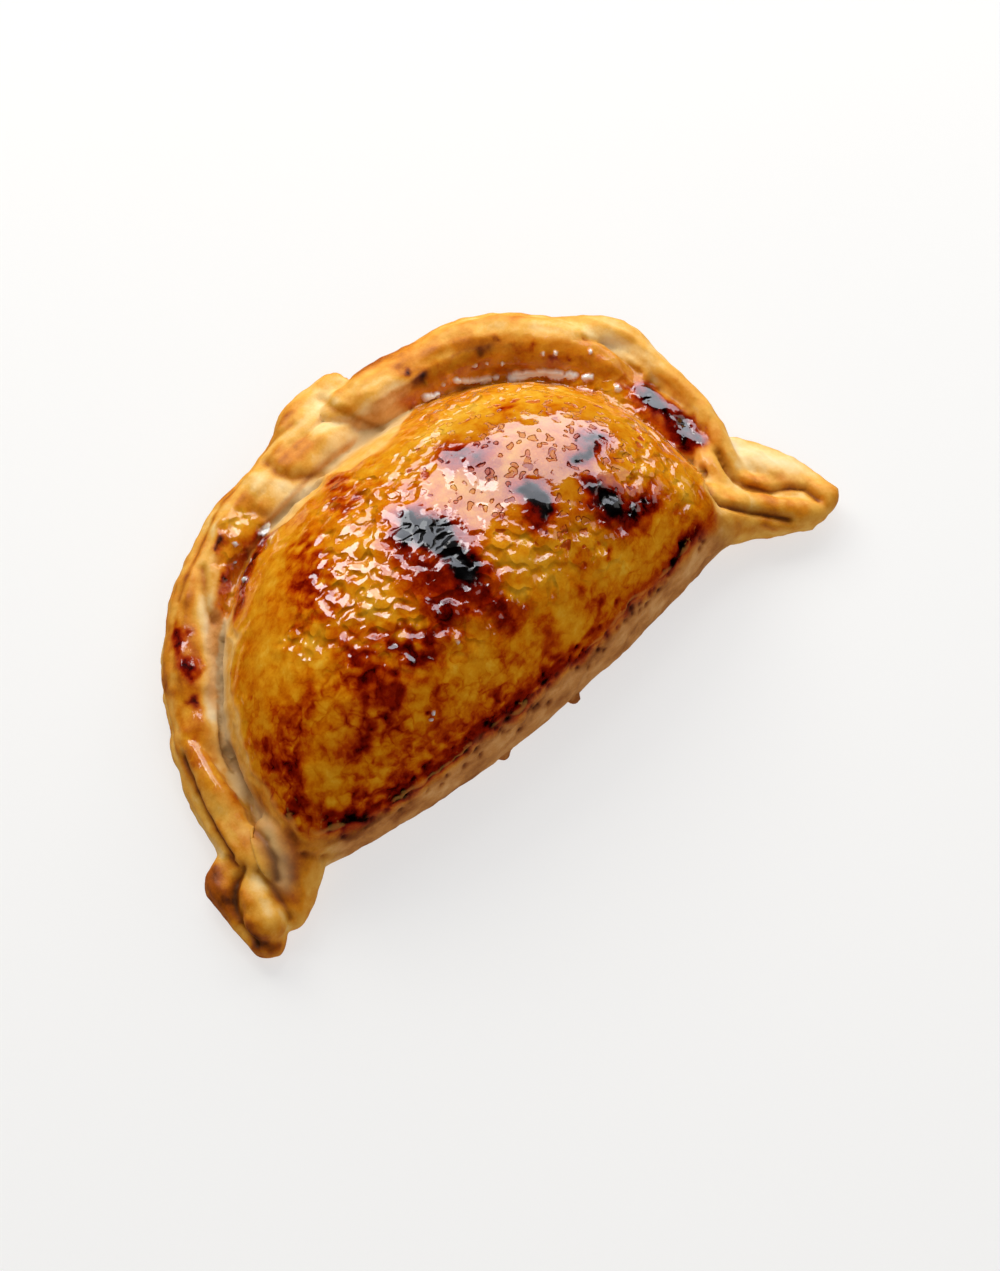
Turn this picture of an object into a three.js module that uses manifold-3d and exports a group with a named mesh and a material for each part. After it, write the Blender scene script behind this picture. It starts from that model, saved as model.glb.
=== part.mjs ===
// A baked half-moon empanada: a filled dome of dough, folded along its straight side and closed along
// its round side by a rolled edge, with a pinched knot at one tip and a twisted tail at the other.
// Millimetres, +Z up. X runs from tip to tip and Y from the fold to the round side. The origin is at
// the middle of the bounding box, on the surface that the empanada rests on.
import * as THREE from "three";
import { mergeVertices } from "three/addons/utils/BufferGeometryUtils.js";
import Module from "manifold-3d";

// Driving dimensions
const DOME_HEIGHT = 40;
const LEFT_LENGTH = 60; // of the filled dome, from its middle to its left end
const RIGHT_LENGTH = 57;
const FOLD_BULGE = 6; // how far the fold bows out in front of the line between the dome's ends
const FOLD_DRIFT = 0.2; // share by which that bow is fuller to the left than to the right
const SEAM_DEPTH = 64; // from the line between the dome's ends back to the seam
const ROUNDNESS = 2.5; // exponent of the superellipse that the seam follows
const SKEW = 0.12; // sideways drift of the round side, as a share of the depth
const CREST_SHARE = 0.42; // where the dome is highest, from the fold to the seam
const FOLD_EDGE_HEIGHT = 4.5; // height at which the fold bows out furthest
const SEAM_EDGE_HEIGHT = 8;
const END_HEIGHT = 6; // of the dome's two ends
const RIM_LENGTH = 65; // half the length and the depth of the line along the middle of the rolled edge
const RIM_DEPTH = 69;
const UNEVEN = 0.05; // swelling and thinning of a strand by hand, as a share of its thickness

const wasm = await Module();
wasm.setup();

// A closed geometry as a solid that can be joined to others.
function solidOf(geometry) {
  geometry.deleteAttribute("normal");
  geometry.deleteAttribute("uv");
  const merged = mergeVertices(geometry);
  const vertProperties = merged.attributes.position.array;
  const triVerts = new Uint32Array(merged.index.array);
  return new wasm.Manifold(new wasm.Mesh({ numProp: 3, vertProperties, triVerts }));
}

// Moves every vertex of a ball to the place that shape(vertex) gives.
function mould(ball, shape) {
  const position = ball.attributes.position;
  const vertex = new THREE.Vector3();
  for (let i = 0; i < position.count; i++) {
    const place = shape(vertex.fromBufferAttribute(position, i));
    position.setXYZ(i, place.x, place.y, place.z);
  }
  return solidOf(ball);
}

const power = (value, exponent) => Math.sign(value) * Math.abs(value) ** exponent;
const mix = (from, to, share) => from + (to - from) * share;

// How far a vertex lies along the ball's axis from one pole to the other, 0 to 1, with its rows spread
// more evenly than on the ball itself.
function spread(axis) {
  const even = Math.acos(THREE.MathUtils.clamp(axis, -1, 1)) / Math.PI;
  return mix((1 - axis) / 2, even, 0.65);
}

// Places where the crust puffed up and burnt: x, y, radius, height.
const blisters = [
  [15, 34.4, 5, 0.6],
  [36.7, 23.3, 4.5, 0.5],
  [17.7, 18.2, 4, 0.6],
  [31.1, 11.1, 4, 0.6],
  [-3.6, 20.1, 6, 0.8],
];

// How far the crust rises above or sinks below an even dome.
function relief(x, y) {
  const broad = 0.35 * Math.sin(x / 7.5 + 0.6) * Math.sin(y / 6.5 + x / 23);
  const small = 0.22 * Math.sin(x / 4.1 + 2) * Math.sin(y / 4.7 + 1);
  let rise = broad + small;
  for (const [centreX, centreY, radius, height] of blisters) {
    rise += height * Math.exp(-((x - centreX) ** 2 + (y - centreY) ** 2) / radius ** 2);
  }
  return rise;
}

// The filled dome, with a steep wall at the fold, a gentle slope down to the seam and a flat bottom.
// Its poles are the two ends, and every row between them is one upright section.
function dome() {
  const TOP_SHARE = 0.7; // share of a section's points on its upper side
  const ball = new THREE.SphereGeometry(1, 60, 38).rotateZ(-Math.PI / 2);
  return mould(ball, (d) => {
    const along = 1 - 2 * spread(d.x);
    const span = (1 - Math.abs(along) ** ROUNDNESS) ** (1 / ROUNDNESS);
    const back = SEAM_DEPTH * span;
    const front = -FOLD_BULGE * (1 - FOLD_DRIFT * along) * (1 - along ** 2) ** 1.1;
    const crest = mix(front, back, CREST_SHARE);
    const swell = (1 - Math.abs(along) ** 2.5) ** 0.55;
    const lift = 3 * THREE.MathUtils.smoothstep(Math.abs(along), 0.75, 1);
    const seamHeight = mix(END_HEIGHT, SEAM_EDGE_HEIGHT, swell);
    const foldHeight = mix(END_HEIGHT, FOLD_EDGE_HEIGHT, swell);
    const top = mix(END_HEIGHT, DOME_HEIGHT, swell);

    const round = (Math.atan2(d.z, d.y) / (2 * Math.PI) + 1) % 1;
    const upper = round <= TOP_SHARE;
    const turn = upper ? round / TOP_SHARE : 1 + (round - TOP_SHARE) / (1 - TOP_SHARE);
    const across = Math.cos(turn * Math.PI);
    const rise = Math.abs(Math.sin(turn * Math.PI));
    const seamSide = across > 0;
    const edgeHeight = seamSide ? seamHeight : foldHeight;
    const y = seamSide ? mix(crest, back, across) : mix(crest, front, (-across) ** 0.85);
    const full = rise ** (seamSide ? 1.5 : 0.9);
    const x = along * (along < 0 ? LEFT_LENGTH : RIGHT_LENGTH) + SKEW * y;
    const crust = mix(edgeHeight, top, full) + relief(x, y) * rise * swell;
    const underside = mix(lift, edgeHeight, Math.max(0, 1 - 2 * rise));
    return new THREE.Vector3(x, y, upper ? crust : underside);
  });
}

// A round-ended strand of dough through stations of [x, y, z, width, height], leaning about its route.
function strand(stations, lean = 0, around = 14, along = 26) {
  const route = new THREE.CatmullRomCurve3(stations.map(([x, y, z]) => new THREE.Vector3(x, y, z)));
  const girth = new THREE.CatmullRomCurve3(stations.map(([, , , w, h]) => new THREE.Vector3(w, h, 0)));
  const length = route.getLength();
  const up = new THREE.Vector3(0, 0, 1);
  const tilt = THREE.MathUtils.degToRad(lean);
  return mould(new THREE.SphereGeometry(1, around, along), (d) => {
    const t = spread(d.y);
    const forward = route.getTangent(t);
    const size = girth.getPoint(t);
    const fromEnd = Math.min(1, (Math.min(t, 1 - t) * length * 2) / size.x);
    const rounding = Math.sqrt(1 - (1 - fromEnd) ** 2);
    const turn = Math.atan2(d.z, d.x);
    const lump = 1 + UNEVEN * Math.sin(0.45 * t * length + turn + stations[0][1]);
    const across = (Math.cos(turn) * rounding * lump * size.x) / 2;
    const above = (Math.sin(turn) * rounding * lump * size.y) / 2;
    const side = new THREE.Vector3().crossVectors(up, forward).normalize();
    const top = new THREE.Vector3().crossVectors(forward, side);
    return route
      .getPoint(t)
      .addScaledVector(side, across * Math.cos(tilt) - above * Math.sin(tilt))
      .addScaledVector(top, across * Math.sin(tilt) + above * Math.cos(tilt));
  });
}

// A crumb of crust fused to the foot of the fold.
function crumb(x, y, radius) {
  const ball = new THREE.SphereGeometry(radius, 7, 5);
  return mould(ball, (d) => {
    const z = Math.max(0.1, 0.8 * (radius + d.z));
    return new THREE.Vector3(x + 1.2 * d.x, y + d.y, z);
  });
}

// A station of a strand that follows the round side, at an angle from its right end and some way out
// from the middle of the rolled edge.
function rimStation(degrees, out, z, width, height) {
  const angle = THREE.MathUtils.degToRad(degrees);
  const y = (RIM_DEPTH + out) * power(Math.sin(angle), 2 / ROUNDNESS);
  const x = (RIM_LENGTH + out) * power(Math.cos(angle), 2 / ROUNDNESS);
  return [x + SKEW * y, y, z, width, height];
}

// The flange of the two layers of dough that the edge is rolled onto.
const flange = [
  [-71, -3, 3.6, 6, 5],
  [-63.2, 7.4, 4.3, 14, 7.4],
  [-58.4, 19.2, 4.7, 16, 8.4],
  rimStation(150, -2, 4.6, 16, 8),
  rimStation(120, -0.4, 4.2, 14, 7),
  rimStation(90, 0, 4.2, 13.4, 6.6),
  rimStation(60, 0, 4.2, 13.4, 6.6),
  rimStation(32, -1.6, 4.4, 15, 7.2),
  [62.5, 18, 4.7, 16, 8.4],
  [63.5, 7, 4.4, 15, 7.8],
  [68.6, -1.5, 3.8, 10, 6],
  [73, -7, 3.6, 5, 5],
];

// The left roll ends in an ear that stands out, and a lip is tucked in on its inner side.
const leftRoll = [
  rimStation(163, -4, 6.2, 4, 5),
  rimStation(156, -2, 7, 8.5, 9),
  rimStation(148, -0.4, 7.9, 11.5, 10.8),
  rimStation(136, 0, 9.2, 12.6, 11.4),
  rimStation(121, 0, 10.1, 12.4, 11.6),
  rimStation(109, 0, 10.8, 12.2, 12),
  rimStation(99, -0.6, 11.4, 12.8, 11.6),
  rimStation(92, 5, 11.8, 11, 10.4),
  rimStation(86, 8, 11.6, 7.6, 8.4),
];
const leftLip = [
  rimStation(120, -2.8, 11, 5, 5),
  rimStation(109, -4, 12.8, 9, 8),
  rimStation(98, -3.6, 13.2, 11.4, 9),
  rimStation(92.4, -3.4, 13, 11, 9),
  rimStation(86, -4, 10.4, 8, 7.6),
];

// Bare dough between that lip, the dome and the back roll.
const paleFloor = [
  rimStation(106, -8, 9.6, 6, 5),
  rimStation(96, -8, 11, 10, 7),
  rimStation(88, -7.4, 11.6, 11, 7.4),
  rimStation(80, -7.4, 11.4, 9, 7),
  rimStation(73, -7, 10, 5, 5),
];

// The back roll's tapered left end lies over the ear.
const backRoll = [
  rimStation(90.5, 4.6, 14.4, 6, 6),
  rimStation(88.5, 0.8, 14.2, 11, 10.4),
  rimStation(84, -0.8, 14, 14, 13.6),
  rimStation(68, 0.8, 12.9, 13.4, 14),
  rimStation(52, 0.4, 12.5, 12.8, 13.8),
  rimStation(41, -1.4, 12, 10.5, 12.4),
  rimStation(34, -2.4, 11.2, 8, 10),
  rimStation(29, -3, 10.6, 4.5, 6),
];

// The left tip: two strands that cross, a pinched finger and the flap under them.
const leftNeck = [
  [-48, 8, 10, 19, 17],
  [-57, 5, 7.5, 15, 12.6],
  [-63.3, -0.7, 5, 12.4, 8.5],
  [-69.2, -5.6, 4, 10, 6.5],
];
const leftFlap = [
  [-66.6, 14.5, 4, 7, 6],
  [-68.4, 8.8, 4.2, 12.2, 7],
  [-70, 0.4, 4, 11.4, 6.8],
  [-71.4, -4.8, 3.7, 8.6, 5.8],
  [-74.2, -8.2, 3.4, 5.5, 5],
];
const leftInner = [
  [-54.4, 43, 7, 4, 5],
  [-57.6, 35.5, 7, 6, 7.6],
  [-60.6, 26.4, 7.2, 7, 8.4],
  [-63, 17.2, 7.1, 7.4, 8.6],
  [-64.7, 9.9, 6.8, 7, 8.3],
  [-65.7, 2.7, 5.8, 6, 6.9],
  [-66.6, -1.2, 5, 4, 5],
];
const leftOuter = [
  [-57, 40.6, 5, 5, 5],
  [-59.2, 33.2, 5, 6.2, 6],
  [-62.1, 26.2, 5, 6.4, 6],
  [-64.3, 17.4, 5.2, 6, 6],
  [-65.8, 10.6, 5.6, 6, 6],
  [-67.2, 6.6, 5, 5, 5],
];
const leftFinger = [
  [-67.3, 7, 5.8, 4, 4.5],
  [-68.8, 1.5, 6.8, 7, 6.5],
  [-70.2, -3, 6.5, 7.4, 6.5],
  [-71.4, -7.4, 5, 6, 5.5],
];

// The right tip: an outer and an inner strand that twist, the flap behind them and the dough between.
const rightNeck = [
  [44, 8, 11, 20, 18],
  [53, 5, 8.5, 15, 14],
  [61, 0.5, 5.5, 9.5, 9],
  [67, -4, 4.2, 7, 7],
  [72.8, -8, 4, 5.6, 5.6],
];
const rightOuter = [
  rimStation(66, 1.6, 9.4, 4, 5),
  rimStation(54, 1.9, 10.6, 8.4, 10.4),
  rimStation(44, 3.2, 10.8, 9.6, 11.8),
  rimStation(34, 5.6, 10.3, 8.2, 11),
  rimStation(26, 3.8, 9.4, 6.6, 10),
  [67.2, 19.8, 8.6, 5.8, 9.2],
  [64.8, 13.2, 7.8, 5.6, 8.2],
  [64.4, 7.4, 6.8, 5.8, 7.4],
  [67, 3, 6.1, 5.8, 6.8],
  [70.8, -0.4, 5.8, 6, 6.4],
  [74.6, -4, 5.5, 6.4, 6.2],
  [77, -9, 5, 7, 5.8],
];
const rightInner = [
  [64.4, 21, 9, 4, 6],
  [61.6, 14.6, 8.6, 6, 7.8],
  [59.2, 8.8, 8.2, 7, 8.2],
  [59.6, 3.8, 7.2, 7.4, 7.8],
  [62, -0.4, 6.8, 7.8, 7.4],
  [66.4, -4.2, 6.1, 7.4, 7],
  [70.4, -5.8, 5.4, 6.4, 6.2],
  [74.6, -8, 4.8, 5.4, 5],
];
const rightFlap = [
  [67.6, 18, 4.4, 5, 4.5],
  [71.1, 11.2, 4.4, 7.4, 5],
  [73.8, 4.9, 4.8, 7.6, 5.6],
  [75.6, -2.4, 4.6, 6, 5.6],
  [77.8, -6.8, 4.5, 5.2, 5],
];

const rightWeb = [
  [66.4, 15.6, 5.6, 5, 5],
  [68.2, 9, 6.2, 8.4, 6.4],
  [71, 2.8, 6.2, 7.4, 6.2],
  [75, -3.6, 5.4, 5, 5],
];

// Dough pressed together between the back roll's end and the outer strand.
const rightSeam = [
  [61.8, 47, 11.8, 3, 4],
  [63.2, 43, 11.5, 5, 5],
  [64, 39, 11, 5, 5],
  [64.2, 35, 10.6, 4, 5],
];

// Egg wash that ran into the groove behind the dome and burnt where it gathered.
const wetLine = [
  rimStation(80, -5.8, 9.2, 3, 3),
  rimStation(70, -5.6, 9.2, 5, 5),
  rimStation(58, -5.6, 9, 5, 5),
  rimStation(46, -5.8, 9.6, 6, 5),
  rimStation(37, -5.6, 10.8, 5, 4),
];
const pool = [
  rimStation(43, -5.6, 12, 6, 4),
  rimStation(34, -5, 11.8, 10, 5),
  rimStation(26, -4.6, 11.2, 10, 5),
  rimStation(18, -4.6, 10.4, 9, 5),
  rimStation(10, -5, 9.6, 6, 4),
];

const pieces = [
  dome(),
  strand(flange, 0, 10, 28),
  strand(leftRoll, -15, 16, 30),
  strand(leftLip, 0, 12, 16),
  strand(paleFloor, 0, 12, 14),
  strand(backRoll, -18, 16, 26),
  strand(leftNeck, 0, 14, 10),
  strand(leftFlap, 0, 14, 14),
  strand(leftInner, 0, 12, 22),
  strand(leftOuter, 0, 12, 18),
  strand(leftFinger, 0, 12, 14),
  strand(rightNeck, 0, 14, 10),
  strand(rightOuter, 0, 12, 30),
  strand(rightInner, 0, 12, 24),
  strand(rightFlap, 0, 12, 18),
  strand(rightWeb, 0, 12, 12),
  strand(wetLine, 0, 8, 12),
  strand(pool, 0, 8, 12),
  strand(rightSeam, 0, 8, 8),
  crumb(8.1, -4.6, 1.5),
  crumb(-10.6, -4.6, 1.5),
];

const joined = pieces.reduce((whole, piece) => whole.add(piece));
const outside = joined.decompose().reduce((a, b) => (a.volume() > b.volume() ? a : b));
const { vertProperties, triVerts } = outside.getMesh();
const crust = new THREE.BufferGeometry();
crust.setAttribute("position", new THREE.BufferAttribute(vertProperties, 3));
crust.setIndex(new THREE.BufferAttribute(triVerts, 1));
crust.computeBoundingBox();
const middle = crust.boundingBox.getCenter(new THREE.Vector3());
crust.translate(-middle.x, -middle.y, -crust.boundingBox.min.z);
crust.computeVertexNormals();

const bakedDough = new THREE.MeshStandardMaterial({ color: 0xc98a34, roughness: 0.35, metalness: 0 });
const empanada = new THREE.Mesh(crust, bakedDough);
empanada.name = "empanada";

const group = new THREE.Group();
group.add(empanada);
export default group;
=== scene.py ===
import math
import random
from types import SimpleNamespace
import bmesh
import bpy
import numpy as np
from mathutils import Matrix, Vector, bvhtree, noise


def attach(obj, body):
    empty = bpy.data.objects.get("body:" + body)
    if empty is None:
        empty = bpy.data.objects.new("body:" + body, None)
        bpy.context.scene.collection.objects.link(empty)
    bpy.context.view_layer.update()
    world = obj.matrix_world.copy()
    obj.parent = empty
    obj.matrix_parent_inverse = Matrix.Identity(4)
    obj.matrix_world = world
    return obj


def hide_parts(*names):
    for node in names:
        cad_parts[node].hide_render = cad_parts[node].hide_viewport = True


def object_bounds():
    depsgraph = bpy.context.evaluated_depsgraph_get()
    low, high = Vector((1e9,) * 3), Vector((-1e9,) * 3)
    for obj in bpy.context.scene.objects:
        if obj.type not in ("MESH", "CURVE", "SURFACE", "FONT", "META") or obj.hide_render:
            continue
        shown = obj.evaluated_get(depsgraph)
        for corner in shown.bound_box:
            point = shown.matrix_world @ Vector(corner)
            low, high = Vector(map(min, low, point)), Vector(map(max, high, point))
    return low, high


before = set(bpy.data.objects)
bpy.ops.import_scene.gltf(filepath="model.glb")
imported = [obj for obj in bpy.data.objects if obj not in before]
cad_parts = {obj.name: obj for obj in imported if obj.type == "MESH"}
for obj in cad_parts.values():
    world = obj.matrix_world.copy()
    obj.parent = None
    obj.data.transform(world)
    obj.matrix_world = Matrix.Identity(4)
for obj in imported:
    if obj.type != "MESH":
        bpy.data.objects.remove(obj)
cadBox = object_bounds()
scene = bpy.context.scene
mm = 0.001
print("frame loaded")


# camera at the photo's angle
view = {
    "turn": math.radians(-41),
    "height": math.radians(64),
    "away": 0.698,
    "lens": 100,
    "film": 36,  # upright side of the picture
    "nearest": 0.01,
    "target": (-0.00044, -0.0249, 0.015),
}


def aim(obj, place, target):
    obj.location = place
    obj.rotation_euler = (Vector(target) - Vector(place)).to_track_quat("-Z", "Y").to_euler()
    scene.collection.objects.link(obj)


def photoCamera():
    turn, height = view["turn"], view["height"]
    level = math.cos(height)
    towards = Vector((math.sin(turn) * level, -math.cos(turn) * level, math.sin(height)))
    data = bpy.data.cameras.new("photoCamera")
    data.lens = view["lens"]
    data.sensor_fit = "VERTICAL"
    data.sensor_height = view["film"]
    data.clip_start = view["nearest"]
    camera = bpy.data.objects.new("photoCamera", data)
    aim(camera, Vector(view["target"]) + towards * view["away"], view["target"])
    scene.camera = camera


photoCamera()
print("camera set")


# studio: softboxes placed as right, away and up from the camera's side of the table
studio = {
    "softboxes": {
        # name: direction, distance, width, depth, roll, brightness
        "keyBox": ((0.16, 0.87, 0.56), 0.6, 0.68, 0.62, 24, 2.8),
        "glintBox": ((0.16, 0.87, 0.56), 0.61, 0.68, 0.62, 24, 1.0),
        "sideBox": ((-0.48, 0.6, 0.65), 0.8, 0.32, 0.44, 0, 6.6),
        "sideGlint": ((-0.48, 0.6, 0.65), 0.81, 0.32, 0.44, 0, 1.6),
        "topBox": ((-0.06, 0.44, 0.9), 0.8, 0.12, 0.2, 0, 6.0),
        "backBox": ((1.0, 0.5, 0.6), 0.9, 0.4, 0.4, 0, 1.0),
        "frontFill": ((0.2, -0.7, 0.8), 0.9, 0.7, 0.7, 0, 1.2),
    },
    "unmirrored": ["frontFill"],  # lights the crust without a reflection in the glaze
    "mirroredOnly": ["glintBox", "sideGlint"],  # show as reflections without lighting the crust
    "aimedAt": (0, 0, 0.02),
    "lightColour": (1.03, 1.0, 0.96),
    "tinted": {"glintBox": (0.66, 0.92, 1.42), "sideGlint": (0.3, 0.6, 1.2), "sideBox": (1.03, 1.0, 0.9)},
    "ambient": 0.13,
    "floorSize": 60.0,
    "floorTone": 0.3,
    "floorGlow": 0.62,
    "floorRoughness": 0.9,
    "floorShine": 0.1,
}


def lightStudio():
    turn = view["turn"]
    right = Vector((math.cos(turn), math.sin(turn), 0))
    away = Vector((-math.sin(turn), math.cos(turn), 0))
    for name, (direction, distance, width, depth, roll, brightness) in studio["softboxes"].items():
        towards = right * direction[0] + away * direction[1] + Vector((0, 0, direction[2]))
        data = bpy.data.lights.new(name, "AREA")
        data.shape = "RECTANGLE"
        data.size = width
        data.size_y = depth
        data.energy = brightness * math.pi * width * depth
        data.color = studio["tinted"].get(name, studio["lightColour"])
        lamp = bpy.data.objects.new(name, data)
        lamp.visible_glossy = name not in studio["unmirrored"]
        lamp.visible_diffuse = name not in studio["mirroredOnly"]
        aim(lamp, towards.normalized() * distance, studio["aimedAt"])
        lamp.rotation_euler.rotate_axis("Z", math.radians(roll))
    world = bpy.data.worlds.new("studioAir")
    world.use_nodes = True
    level = studio["ambient"]
    world.node_tree.nodes["Background"].inputs["Color"].default_value = (level, level, level, 1)
    world.cycles_visibility.glossy = False  # fills the shadows but doesn't grey the glaze
    scene.world = world
    scene.view_settings.view_transform = "Standard"


lightStudio()
print("studio lit")


# shader wiring: arithmetic on a wire adds Math nodes
class Wire:
    def __init__(self, tree, socket=None):
        self.tree = tree
        self.socket = socket

    def node(self, kind, settings=None, sockets=None, out=0):
        made = self.tree.nodes.new(kind)
        for name, value in (settings or {}).items():
            if name == "stops":
                self.fillRamp(made.color_ramp, value)
            else:
                setattr(made, name, value)
        for name, value in (sockets or {}).items():
            if isinstance(value, Wire):
                self.tree.links.new(value.socket, made.inputs[name])
            else:
                made.inputs[name].default_value = value
        return Wire(self.tree, made.outputs[out])

    def fillRamp(self, ramp, stops):
        while len(ramp.elements) < len(stops):
            ramp.elements.new(0.5)
        for element, (place, colour) in zip(ramp.elements, stops):
            element.position = place
            element.color = colour

    def maths(self, operation, *values):
        return self.node("ShaderNodeMath", {"operation": operation}, dict(enumerate(values)))

    def __add__(self, other):
        return self.maths("ADD", self, other)

    def __sub__(self, other):
        return self.maths("SUBTRACT", self, other)

    def __rsub__(self, other):
        return self.maths("SUBTRACT", other, self)

    def __mul__(self, other):
        return self.maths("MULTIPLY", self, other)

    __radd__ = __add__
    __rmul__ = __mul__

    def mixed(self, share, first, second):  # blends two colours
        return self.node("ShaderNodeMix", {"data_type": "RGBA"}, {0: share, 6: first, 7: second}, 2)

    def between(self, low, high):  # 0 below low, 1 above high, eased
        sockets = {"Value": self, "From Min": low, "From Max": high}
        return self.node("ShaderNodeMapRange", {"interpolation_type": "SMOOTHSTEP"}, sockets)


screenGamma = 2.2


def tint(red, green, blue):  # screen colour to the renderer's linear one
    return tuple((c / 255) ** screenGamma for c in (red, green, blue)) + (1,)


def newMaterial(name):
    material = bpy.data.materials.new(name)
    material.use_nodes = True
    return material, material.node_tree.nodes["Principled BSDF"]


# numbers painted on the crust, in millimetres
grainStep = (17.31, 5.13, 9.77)  # how far apart two seeds lie in the noise
shortest = 1e-9  # keeps a stroke's equal points from dividing by 0


def ease(low, high, value):  # 0 below low, 1 above high
    share = np.clip((value - low) / (high - low), 0, 1)
    return share * share * (3 - 2 * share)


def bell(value, spread, middle=0):  # 1 at the middle, fading out on both sides
    return np.exp(-((value - middle) / spread) ** 2)


def weighed(weights, *layers):  # adds layers up, each by its own weight
    total = weights[0] * layers[0]
    for weight, layer in zip(weights[1:], layers[1:]):
        total = total + weight * layer
    return total


def grain(place, size, seed):  # soft noise, about -1 to 1, with blobs size apart
    offset = Vector([seed * step for step in grainStep])
    scaled = (place / size).tolist()
    return np.array([noise.noise(Vector(p) + offset) for p in scaled])


def uneven(place, *layers):  # noises on top of each other: strength, size and seed of each
    return sum(strength * grain(place, size, seed) for strength, size, seed in layers)


def drift(place, size, seeds):  # noise that shifts points
    return np.stack([grain(place, size, seed) for seed in seeds], axis=1)


def lines(place, sharpness, size, seed):  # thin lines where the noise passes through 0
    return 1 - np.clip(np.abs(grain(place, size, seed)) * sharpness, 0, 1)


def reach(place, path):  # how far every point is from a path or a dab
    points = np.array(path, float).reshape(-1, 3)
    if len(points) == 1:
        return np.linalg.norm(place - points[0], axis=1)
    nearest = np.full(len(place), np.inf)
    for start, end in zip(points[:-1], points[1:]):
        run = end - start
        share = np.clip((place - start) @ run / max(run @ run, shortest), 0, 1)
        nearest = np.minimum(nearest, np.linalg.norm(place - start - share[:, None] * run, axis=1))
    return nearest


def brush(place, path, radius):  # a soft stroke
    return bell(reach(place, path), radius)


# crust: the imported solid, remeshed fine enough to carry the glaze's relief
crust = {
    "voxel": 0.54 * mm,
    "doubles": 1e-6,
    "smoothing": 3,
    "domeSmoothing": 26,
    "rubbedRing": (0.86, 0.92),  # the dome is rubbed smooth inside this
    "rubbedHeight": (10, 14),  # and above this
    "tailEnd": (67, 73),  # where the tail is rubbed round
    "footHeight": (0.2, 1.5),  # the foot keeps its shape
    "downward": -0.25,  # the underside's normals point down by more than this
    "underside": 0.82,  # share of the triangles that stays when the underside is thinned
    "base": 0.2 * mm,  # cut off under the empanada so that it sits flat
    "shift": (1.98, 35.28),  # from the solid's middle to the line between the dome's ends
    "rim": (65, 69),  # half the length and the depth of the rolled edge's middle line
    "skew": 0.12,  # how far that line leans
    "roundness": 2.5,  # 2 is an ellipse
    "seed": 7,
}


def applied(piece, modifier):
    bpy.context.view_layer.objects.active = piece
    bpy.ops.object.modifier_apply(modifier=modifier.name)


def remeshCrust():
    bm = bmesh.new()
    bm.from_mesh(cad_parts["empanada"].data)
    bmesh.ops.remove_doubles(bm, verts=bm.verts, dist=crust["doubles"])
    mesh = bpy.data.meshes.new("crust")
    bm.to_mesh(mesh)
    bm.free()
    piece = bpy.data.objects.new("crust", mesh)
    scene.collection.objects.link(piece)
    remesh = piece.modifiers.new("remesh", "REMESH")
    remesh.mode = "VOXEL"
    remesh.voxel_size = crust["voxel"]
    applied(piece, remesh)

    bm = bmesh.new()
    bm.from_mesh(piece.data)
    whole = bm.verts[:] + bm.edges[:] + bm.faces[:]
    cut = bmesh.ops.bisect_plane(
        bm, geom=whole, plane_co=(0, 0, crust["base"]), plane_no=(0, 0, 1), clear_inner=True
    )
    rim = [item for item in cut["geom_cut"] if isinstance(item, bmesh.types.BMEdge)]
    bmesh.ops.triangle_fill(bm, use_beauty=True, use_dissolve=False, edges=rim)
    bmesh.ops.translate(bm, verts=bm.verts, vec=(0, 0, -crust["base"]))
    bmesh.ops.recalc_face_normals(bm, faces=bm.faces)
    bm.to_mesh(piece.data)
    bm.free()

    under = piece.vertex_groups.new(name="under")
    facingDown = [v.index for v in piece.data.vertices if v.normal.z < crust["downward"]]
    under.add(facingDown, 1.0, "REPLACE")
    thin = piece.modifiers.new("thin", "DECIMATE")
    thin.vertex_group = "under"
    thin.ratio = crust["underside"]
    applied(piece, thin)
    piece.vertex_groups.clear()
    return piece


def vertexArrays(mesh):
    place = np.empty(len(mesh.vertices) * 3)
    mesh.vertices.foreach_get("co", place)
    facing = np.empty(len(mesh.vertices) * 3)
    mesh.vertices.foreach_get("normal", facing)
    ends = np.empty(len(mesh.edges) * 2, int)
    mesh.edges.foreach_get("vertices", ends)
    return place.reshape(-1, 3) / mm, facing.reshape(-1, 3), ends.reshape(-1, 2)


def averaged(values, ends, rounds):  # spreads numbers to neighbours
    first, second = ends[:, 0], ends[:, 1]
    count = len(values)
    valence = np.bincount(first, minlength=count) + np.bincount(second, minlength=count)
    for _ in range(rounds):
        total = np.bincount(first, values[second], count) + np.bincount(second, values[first], count)
        values = (values + total / np.maximum(valence, 1)) / 2
    return values


def relaxed(place, ends, rounds):
    return np.stack([averaged(axis, ends, rounds) for axis in place.T], axis=1)


def ringOf(place):  # 1 along the middle of the rolled edge, less inside it
    along = place[:, 0] + crust["shift"][0]
    back = place[:, 1] + crust["shift"][1]
    power = crust["roundness"]
    across = np.abs(along - crust["skew"] * back) / crust["rim"][0]
    return (across ** power + (np.maximum(back, 0) / crust["rim"][1]) ** power) ** (1 / power)


def smoothCrust(piece):  # rubs out the solid's facets, most of all on the dome
    mesh = piece.data
    place, _, ends = vertexArrays(mesh)
    dome = (1 - ease(*crust["rubbedRing"], ringOf(place))) * ease(*crust["rubbedHeight"], place[:, 2])
    soft = relaxed(place, ends, crust["smoothing"])
    softer = relaxed(soft, ends, crust["domeSmoothing"])
    tail = ease(*crust["tailEnd"], place[:, 0])
    share = ease(*crust["footHeight"], place[:, 2])[:, None]
    soft = soft + (softer - soft) * np.maximum(dome, tail)[:, None]
    moved = (place + (soft - place) * share) * mm
    mesh.vertices.foreach_set("co", moved.ravel())
    mesh.update()


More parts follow.
